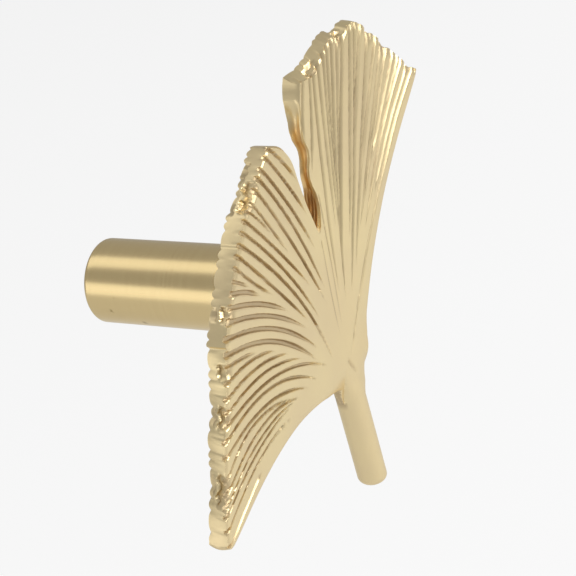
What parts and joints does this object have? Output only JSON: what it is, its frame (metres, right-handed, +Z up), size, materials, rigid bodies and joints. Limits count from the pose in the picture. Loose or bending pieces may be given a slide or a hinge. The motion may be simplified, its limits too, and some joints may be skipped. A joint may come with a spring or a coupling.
{
  "type": "leaf shaped drawer pull",
  "caption": "Drawer pull: a ridged fan leaf with a deep notch and a round stem, cast in brass, carried off the drawer front by a turned brass post.",
  "frame": {"origin": "centre of the post's wall face, on the axis of its screw hole", "axes": "+Y into the drawer front along the post, +Z up the leaf from its stem to its notch, +X to the right seen from the room"},
  "size_m": [0.0643, 0.0341, 0.0602],
  "materials": {
    "cast_brass": "satin cast brass, pale",
    "turned_brass": "turned and brushed brass"
  },
  "bodies": {
    "root": {"leaf": "cast_brass", "post": "turned_brass"}
  },
  "joints": []
}
